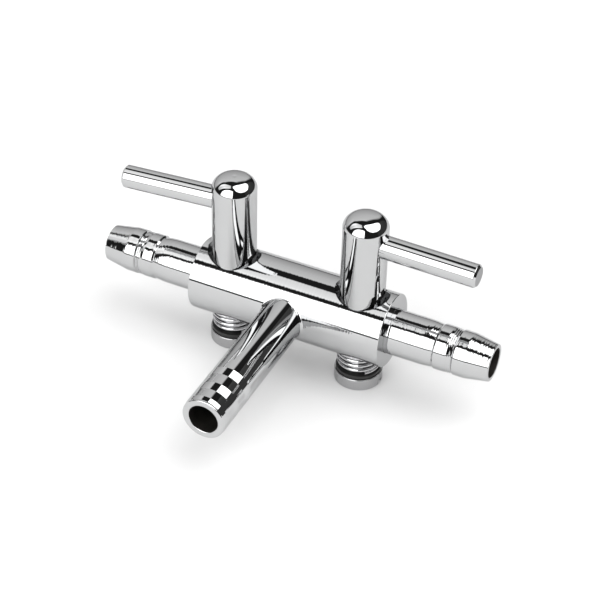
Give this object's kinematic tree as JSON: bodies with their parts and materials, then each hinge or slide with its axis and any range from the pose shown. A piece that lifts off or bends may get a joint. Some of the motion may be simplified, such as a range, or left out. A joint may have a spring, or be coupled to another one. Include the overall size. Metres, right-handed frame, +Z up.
{
  "type": "two-way hose manifold with plug cocks",
  "caption": "Chrome hose manifold: a round bar with a barb at each end, a front inlet tube and spring-loaded plug cocks turned by lever rods.",
  "frame": {"origin": "middle of the bounding box at its bottom, level with the undersides of the retaining screws", "axes": "+X along the bar towards the right barb, +Y away from the inlet tube, +Z up along the valve plugs towards their domes"},
  "size_m": [0.056, 0.0314, 0.0264],
  "materials": {
    "chrome_plate": "polished chrome plate on brass",
    "spring_steel": "bright drawn wire",
    "screw_plate": "satin nickel plate",
    "black_rubber": "smooth black"
  },
  "bodies": {
    "manifold": {"manifold_bar": "chrome_plate", "left_hose_barb": "chrome_plate", "right_hose_barb": "chrome_plate", "inlet_tube": "chrome_plate"},
    "left_valve": {"left_valve_plug": "chrome_plate", "left_lever_rod": "chrome_plate", "left_spring": "spring_steel", "left_washer": "black_rubber", "left_screw": "screw_plate"},
    "right_valve": {"right_valve_plug": "chrome_plate", "right_lever_rod": "chrome_plate", "right_spring": "spring_steel", "right_washer": "black_rubber", "right_screw": "screw_plate"}
  },
  "joints": [
    {"name": "left_valve_turn", "type": "hinge", "parent": "manifold", "child": "left_valve", "pos_m": [-0.00933, 0.0107, 0.0094], "axis": [0, 0, 1], "range_deg": [-95.4, 84.6]},
    {"name": "right_valve_turn", "type": "hinge", "parent": "manifold", "child": "right_valve", "pos_m": [0.00933, 0.0107, 0.0094], "axis": [0, 0, 1], "range_deg": [-88.7, 91.3]}
  ]
}
